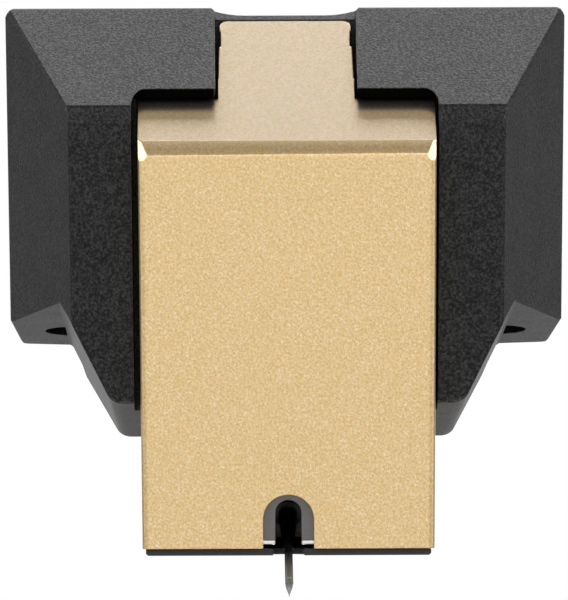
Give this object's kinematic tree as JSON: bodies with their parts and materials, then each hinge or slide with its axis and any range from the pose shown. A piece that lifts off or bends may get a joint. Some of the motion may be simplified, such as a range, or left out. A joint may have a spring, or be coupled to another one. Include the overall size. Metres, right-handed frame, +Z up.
{
  "type": "moving-coil phono cartridge",
  "caption": "Phono cartridge: black housing with screw ears, gold nose block with the coil generator, and a sprung cantilever with a stylus for playing records.",
  "frame": {"origin": "midway between the two mounting screws, in the plane of the mounting pads", "axes": "+Z up to the headshell, -Y to the stylus end, +Y to the terminal pins, +X to the right seen from the stylus end"},
  "size_m": [0.0168, 0.0262, 0.0176],
  "materials": {
    "housing_resin": "fine spark-eroded grain",
    "gold_anodise": "fine blasted and anodised, satin",
    "soft_black": "smooth, matt",
    "pole_steel": "ground, plated",
    "magnet_plate": "nickel plated",
    "screw_steel": "turned",
    "sleeve_brass": "turned",
    "wire_steel": "drawn",
    "damper_rubber": "soft, matt",
    "former_iron": "annealed",
    "coil_copper": "enamelled copper winding",
    "collar_black": "black anodised",
    "boron_rod": "smooth, dark grey",
    "diamond": "polished",
    "terminal_resin": "moulded",
    "board_laminate": "glass-filled laminate",
    "pin_plate": "gold plated, polished",
    "lead_sleeve": "thin insulation"
  },
  "bodies": {
    "cartridge": {"housing": "housing_resin", "nose_block": "gold_anodise", "under_cover": "soft_black", "front_pole": "pole_steel", "magnet": "magnet_plate", "rear_yoke": "pole_steel", "yoke_screws": "screw_steel", "wire_sleeve": "sleeve_brass", "set_screw": "screw_steel", "suspension_wire": "wire_steel", "terminal_block": "terminal_resin", "tie_board": "board_laminate", "thread_insert_left": "sleeve_brass", "thread_insert_right": "sleeve_brass", "pin_left_signal": "pin_plate", "lead_left_signal": "lead_sleeve", "pin_left_ground": "pin_plate", "lead_left_ground": "lead_sleeve", "pin_right_ground": "pin_plate", "lead_right_ground": "lead_sleeve", "pin_right_signal": "pin_plate", "lead_right_signal": "lead_sleeve"},
    "suspension": {"damper": "damper_rubber"},
    "stylus_assembly": {"armature": "former_iron", "coil_left": "coil_copper", "coil_right": "coil_copper", "cantilever_collar": "collar_black", "cantilever": "boron_rod", "stylus": "diamond"}
  },
  "joints": [
    {"name": "cantilever_swing", "type": "hinge", "parent": "cartridge", "child": "suspension", "pos_m": [0, -0.005, -0.01515], "axis": [0, -0.4226, 0.9063], "range_deg": [-3, 3], "stiffness_Nm_per_rad": 0.0005, "deforming": ["damper"]},
    {"name": "cantilever_lift", "type": "hinge", "parent": "suspension", "child": "stylus_assembly", "pos_m": [0, -0.005, -0.01515], "axis": [-1, 0, 0], "range_deg": [-1.5, 6], "stiffness_Nm_per_rad": 0.0005, "deforming": ["damper"]}
  ]
}
